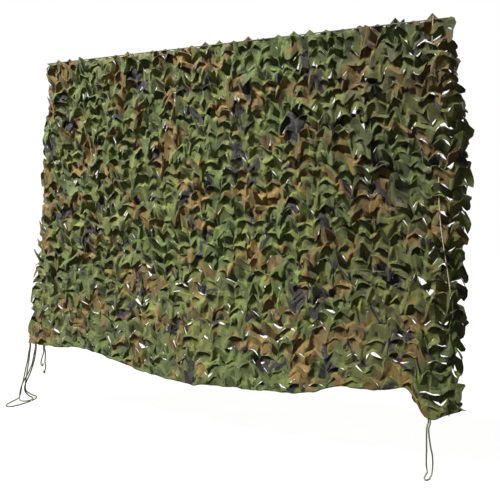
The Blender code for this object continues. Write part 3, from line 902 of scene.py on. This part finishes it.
def make_ropes(dark, pale):
    """The top and hem ropes, and the thin cord down each side."""
    half = TOP_ROPE_LENGTH / 2
    path = [(-half + 2 * half * i / TOP_ROPE_STEPS, 0, 0) for i in range(TOP_ROPE_STEPS + 1)]
    rope = rope_mesh("border_rope_top", [path], TOP_ROPE_RADIUS, ROPE, dark)
    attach(rope, "root")
    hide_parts("rope_top")
    path = smooth_route(hem_rope_points(), CORD_POINTS_APART)
    rope = rope_mesh("border_rope_hem", [path], HEM_ROPE_RADIUS, ROPE, dark)
    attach(rope, "root")
    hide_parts("rope_hem")
    for side, node in ((-1, "rope_left"), (1, "rope_right")):
        points = []
        for step in range(SIDE_CORD_STEPS + 1):
            down = CLOTH_HEIGHT * step / SIDE_CORD_STEPS
            across = side_cord_across(down, side)
            shown = side > 0 and SIDE_CORD_SHOWN[0] < down < SIDE_CORD_SHOWN[1]
            out = SIDE_CORD_FORWARD if shown else SIDE_CORD_HIDDEN
            if step == 0:
                out = TOP_ROPE_RADIUS + GAP + SIDE_CORD_RADIUS
            points.append(hang(across, down) + front(across, down) * out)
        above = points[0] + Vector((0, 0, SIDE_CORD_OVERRUN))
        below = points[-1] - Vector((0, 0, SIDE_CORD_OVERRUN))
        path = smooth_route([above, *points, below], CORD_POINTS_APART)
        rope = rope_mesh(node.replace("rope", "side_cord"), [path], SIDE_CORD_RADIUS, SIDE_CORD, pale)
        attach(rope, "root")
        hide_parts(node)


def make_mesh_cords(material):
    """The backing mesh: thin upright and level cords behind the cloth."""
    half = HALF_PITCHES // 2
    uprights = [
        [(number * HALF_PITCH, CLOTH_HEIGHT * step / (2 * RIBBONS)) for step in range(2 * RIBBONS + 1)]
        for number in range(-half + 1, half)
    ]
    levels = [
        [((-half + 1 + step / 2) * HALF_PITCH, row * ROW) for step in range(2 * HALF_PITCHES - 3)]
        for row in range(1, RIBBONS)
    ]
    paths = []
    for places in uprights + levels:
        path = []
        for step, (across, down) in enumerate(places):
            back = MESH_BEHIND + MESH_WAVE * (step % 2)
            path.append(hang(across, down) - front(across, down) * back)
        paths.append(path)
    cords = rope_mesh("mesh_cords", paths, MESH_CORD_RADIUS, MESH_CORD, material)
    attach(cords, "root")
    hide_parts("backing_mesh")


# ---- materials ----


NOISE_DEFAULTS = (2.0, 0.5, 0.0, (0, 0, 0))
Noise = namedtuple("Noise", "scale detail roughness distortion shift", defaults=NOISE_DEFAULTS)
Step = namedtuple("Step", "zero one")  # the values at which it is 0 and 1
WHITE = (1, 1, 1)

# the print: a ground of two greens, brown clouds over it, dark patches over both
Inks = namedtuple("Inks", "green light_green brown dark")
FRONT_INKS = Inks(
    (0.064, 0.094, 0.023), (0.090, 0.109, 0.027), (0.123, 0.085, 0.023), (0.0105, 0.0098, 0.0130)
)
BACK_INKS = Inks((0.14, 0.16, 0.065), (0.17, 0.18, 0.08), (0.17, 0.14, 0.065), (0.06, 0.058, 0.045))
FRONT_ROUGHNESS = 0.60
BACK_ROUGHNESS = 0.7
GROUND, GROUND_STEP = Noise(2.6, 3.0, 0.55, 0.0, (3, 7, 0)), Step(0.40, 0.60)
CLOUDS, CLOUDS_STEP = Noise(5.0, 3.0, 0.55, 0.5, (11, 2, 0)), Step(0.540, 0.552)
PATCHES, PATCHES_STEP = Noise(6.2, 2.5, 0.60, 0.8, (5, 17, 0)), Step(0.600, 0.612)

# wear and painted light: small mottles, soft fading whose palest patches are painted highlight, painted
# shade towards the cloth's right end, and darker cloth towards its lower part
MOTTLES, MOTTLES_STEP = Noise(60.0, 3.0, 0.6), Step(0.3, 0.7)
MOTTLES_SHARE = 0.35
MOTTLED = (0.62, 0.62, 0.62)
# uneven fading, dark to pale; its palest patches are painted highlight
FADING_AND_PAINTED_HIGHLIGHT, FADING_AND_PAINTED_HIGHLIGHT_STEP = Noise(13.0, shift=(2, 9, 0)), Step(0.35, 0.73)
UNFADED = (0.62, 0.61, 0.58)
FADED_AND_PAINTED_HIGHLIGHT = (1.42, 1.40, 1.18)
# the tint of the painted shade at the right end and of the darkening towards the hem
PAINTED_SHADE_AND_HEM_DARKENING = (0.45, 0.40, 0.30)
# painted shade: the cloth darker towards its right end
PAINTED_SHADE_RIGHT, PAINTED_SHADE_RIGHT_SHARE = Step(1.7, 2.6), 0.68  # metres from the cloth's left edge
# the cloth darker towards its hem
DARKER_TOWARDS_HEM, DARKER_TOWARDS_HEM_SHARE = Step(0.85, 0.45), 0.32  # metres above its hem
CLOTH_SHADING = {"Sheen Weight": 0.10, "Sheen Roughness": 0.4, "Specular IOR Level": 0.25}
WEAVE = {"Scale": 260.0, "Distortion": 1.0}
CRUMPLES = Noise(25.0, 3.0)
CRUMPLES_SHARE = 6.0
CLOTH_BUMP = 0.0006
RIM_ROUGHNESS = 0.9
RIM_COLOUR = (0.22, 0.24, 0.12, 1)

RopeLook = namedtuple("RopeLook", "name dark light fibres relief")
DARK_ROPE = RopeLook(
    "dark_twisted_rope", (0.030, 0.032, 0.020), (0.085, 0.090, 0.055),
    Noise(400.0, 4.0, 0.7), Noise(800.0, 3.0, 0.6),
)
PALE_CORD = RopeLook(
    "pale_cord", (0.25, 0.24, 0.14), (0.42, 0.40, 0.25),
    Noise(500.0, 4.0, 0.7), Noise(1000.0, 3.0, 0.6),
)
ROPE_ROUGHNESS = 0.85
ROPE_SHEEN = 0.2
ROPE_BUMP = 0.0008
FIBRE_STEP = Step(0.3, 0.7)
FIBRES_ALONG = (0.02, 1, 1)  # fibres vary little around the rope


class Nodes:
    """Short calls for building a material's nodes."""

    def __init__(self, name, roughness):
        self.material = bpy.data.materials.new(name)
        self.material.use_nodes = True
        self.tree = self.material.node_tree
        self.shader = self.tree.nodes["Principled BSDF"]
        self.feed(self.shader, {"Roughness": roughness})

    def feed(self, node, inputs):
        """Links each input to the output given for it, or sets it to the value given."""
        for key, value in inputs.items():
            if isinstance(value, bpy.types.NodeSocket):
                self.tree.links.new(value, node.inputs[key])
            else:
                node.inputs[key].default_value = value

    def add(self, kind, inputs, **settings):
        node = self.tree.nodes.new(kind)
        for key, value in settings.items():
            setattr(node, key, value)
        self.feed(node, inputs)
        return node

    def flat_place(self, scale):
        uv = self.add("ShaderNodeUVMap", {}, uv_map="flat").outputs["UV"]
        place = self.add("ShaderNodeVectorMath", {0: uv, 1: scale}, operation="MULTIPLY")
        return place.outputs["Vector"]

    def noise(self, place, noise):
        moved = self.add("ShaderNodeVectorMath", {0: place, 1: noise.shift}, operation="ADD")
        inputs = {"Vector": moved.outputs["Vector"], "Scale": noise.scale, "Detail": noise.detail,
                  "Roughness": noise.roughness, "Distortion": noise.distortion}
        return self.add("ShaderNodeTexNoise", inputs).outputs["Fac"]

    def step(self, value, step):
        inputs = {"Value": value, "From Min": step.zero, "From Max": step.one}
        return self.add("ShaderNodeMapRange", inputs, interpolation_type="SMOOTHSTEP").outputs["Result"]

    def math(self, operation, a, b):
        return self.add("ShaderNodeMath", {0: a, 1: b}, operation=operation).outputs["Value"]

    def mix(self, share, a, b, blend="MIX"):
        a, b = (c if isinstance(c, bpy.types.NodeSocket) else (*c, 1) for c in (a, b))
        inputs = {0: share, 6: a, 7: b}  # sockets by number: the factor and the two colours
        return self.add("ShaderNodeMix", inputs, data_type="RGBA", blend_type=blend).outputs[2]

    def bump(self, height, distance):
        node = self.add("ShaderNodeBump", {"Height": height, "Distance": distance, "Strength": 1.0})
        self.feed(self.shader, {"Normal": node.outputs["Normal"]})


def print_colour(nodes, place, inks):
    """Generic woodland blotches: green ground, brown clouds and dark patches."""
    colour = nodes.mix(nodes.step(nodes.noise(place, GROUND), GROUND_STEP), inks.green, inks.light_green)
    colour = nodes.mix(nodes.step(nodes.noise(place, CLOUDS), CLOUDS_STEP), colour, inks.brown)
    return nodes.mix(nodes.step(nodes.noise(place, PATCHES), PATCHES_STEP), colour, inks.dark)


def wear_and_painted_light_colour(nodes, place, colour):
    """The print with mottles, soft fading whose palest patches are painted highlight, painted shade
    towards the right end and darker cloth towards the hem, by place on the flat cloth.
    """
    mottles = nodes.step(nodes.noise(place, MOTTLES), MOTTLES_STEP)
    colour = nodes.mix(MOTTLES_SHARE, colour, nodes.mix(mottles, MOTTLED, WHITE), "MULTIPLY")
    # uneven fading; its palest patches are painted highlight
    fading_and_highlight = nodes.step(nodes.noise(place, FADING_AND_PAINTED_HIGHLIGHT), FADING_AND_PAINTED_HIGHLIGHT_STEP)
    colour = nodes.mix(1.0, colour, nodes.mix(fading_and_highlight, UNFADED, FADED_AND_PAINTED_HIGHLIGHT), "MULTIPLY")
    parts = nodes.add("ShaderNodeSeparateXYZ", {0: place}).outputs
    # painted shade towards the cloth's right end
    right = nodes.math("MULTIPLY", nodes.step(parts["X"], PAINTED_SHADE_RIGHT), PAINTED_SHADE_RIGHT_SHARE)
    # darker towards the hem
    low = nodes.math("MULTIPLY", nodes.step(parts["Y"], DARKER_TOWARDS_HEM), DARKER_TOWARDS_HEM_SHARE)
    return nodes.mix(nodes.math("MAXIMUM", right, low), colour, PAINTED_SHADE_AND_HEM_DARKENING, "MULTIPLY")


def cloth_material(name, inks, roughness):
    nodes = Nodes(name, roughness)
    place = nodes.flat_place((CLOTH_WIDTH, PRINT_HEIGHT, 1))
    colour = wear_and_painted_light_colour(nodes, place, print_colour(nodes, place, inks))
    nodes.feed(nodes.shader, {"Base Color": colour, **CLOTH_SHADING})
    warp, weft = (
        nodes.add("ShaderNodeTexWave", {"Vector": place, **WEAVE}, bands_direction=way).outputs["Fac"]
        for way in ("X", "Y")
    )
    crumples = nodes.math("MULTIPLY", nodes.noise(place, CRUMPLES), CRUMPLES_SHARE)
    nodes.bump(nodes.math("ADD", nodes.math("MULTIPLY", warp, weft), crumples), CLOTH_BUMP)
    return nodes.material


def rope_material(look):
    nodes = Nodes(look.name, ROPE_ROUGHNESS)
    place = nodes.flat_place(FIBRES_ALONG)
    colour = nodes.mix(nodes.step(nodes.noise(place, look.fibres), FIBRE_STEP), look.dark, look.light)
    nodes.feed(nodes.shader, {"Base Color": colour, "Sheen Weight": ROPE_SHEEN})
    nodes.bump(nodes.noise(place, look.relief), ROPE_BUMP)
    return nodes.material


# ---- stage ----
FLOOR_RADIUS = 14
FLOOR_SIDES = 96
FLOOR_SHADING = {
    "Base Color": (0.06, 0.06, 0.06, 1),
    "Emission Color": (1, 1, 1, 1),
    "Emission Strength": 0.96,
    "Specular IOR Level": 0.0,
}
SUN_FROM = (-0.62, -0.62, 1.08)
SUN_STRENGTH = 13.2
SUN_SPREAD = 14  # degrees
SUN_COLOUR = (1.0, 0.97, 0.88)
BEHIND_FROM = (0.3, 1.0, 0.5)
BEHIND_STRENGTH = 1.2
BEHIND_SPREAD = 30
FILL_COLOUR = (1.0, 0.96, 0.76, 1)
FILL_STRENGTH = 0.30


def make_stage():
    bm = bmesh.new()
    bmesh.ops.create_circle(bm, cap_ends=True, segments=FLOOR_SIDES, radius=FLOOR_RADIUS)
    mesh = bpy.data.meshes.new("floor")
    bm.to_mesh(mesh)
    bm.free()
    floor = bpy.data.objects.new("floor", mesh)
    floor.location = (0, 0, FLOOR_Z)
    bpy.context.scene.collection.objects.link(floor)
    nodes = Nodes("floor_white", 1.0)
    nodes.feed(nodes.shader, FLOOR_SHADING)
    mesh.materials.append(nodes.material)
    floor.visible_diffuse = False  # it shows white without lighting the net from below
    floor.visible_glossy = False


def make_sun(name, source, strength, spread, colour=WHITE):
    light = bpy.data.lights.new(name, "SUN")
    light.energy = strength
    light.angle = math.radians(spread)
    light.color = colour
    sun = bpy.data.objects.new(name, light)
    sun.rotation_mode = "QUATERNION"
    sun.rotation_quaternion = Vector(source).to_track_quat("Z", "Y")
    bpy.context.scene.collection.objects.link(sun)


def make_light():
    scene = bpy.context.scene
    scene.view_settings.view_transform = "Standard"
    scene.view_settings.look = "None"
    make_sun("key", SUN_FROM, SUN_STRENGTH, SUN_SPREAD, SUN_COLOUR)
    make_sun("behind", BEHIND_FROM, BEHIND_STRENGTH, BEHIND_SPREAD)
    world = bpy.data.worlds.new("studio")
    scene.world = world
    world.use_nodes = True
    tree = world.node_tree
    fill = tree.nodes["Background"]
    fill.inputs["Color"].default_value = FILL_COLOUR
    fill.inputs["Strength"].default_value = FILL_STRENGTH
    seen = tree.nodes.new("ShaderNodeBackground")
    seen.inputs["Color"].default_value = (1, 1, 1, 1)
    seen.inputs["Strength"].default_value = 1.0
    path = tree.nodes.new("ShaderNodeLightPath")
    mix = tree.nodes.new("ShaderNodeMixShader")
    tree.links.new(path.outputs["Is Camera Ray"], mix.inputs[0])
    tree.links.new(fill.outputs[0], mix.inputs[1])
    tree.links.new(seen.outputs[0], mix.inputs[2])
    tree.links.new(mix.outputs[0], tree.nodes["World Output"].inputs["Surface"])


def main():
    make_camera()
    dark = rope_material(DARK_ROPE)
    pale = rope_material(PALE_CORD)
    make_ties(dark)
    make_ropes(dark, pale)
    make_mesh_cords(pale)
    rim = Nodes("cut_edge", RIM_ROUGHNESS)
    rim.feed(rim.shader, {"Base Color": RIM_COLOUR})
    printed = cloth_material("printed_front", FRONT_INKS, FRONT_ROUGHNESS)
    back = cloth_material("pale_back", BACK_INKS, BACK_ROUGHNESS)
    cloth = make_cloth((printed, back, rim.material))
    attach(cloth, "root")
    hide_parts("camo_cloth")
    make_stage()
    make_light()


main()
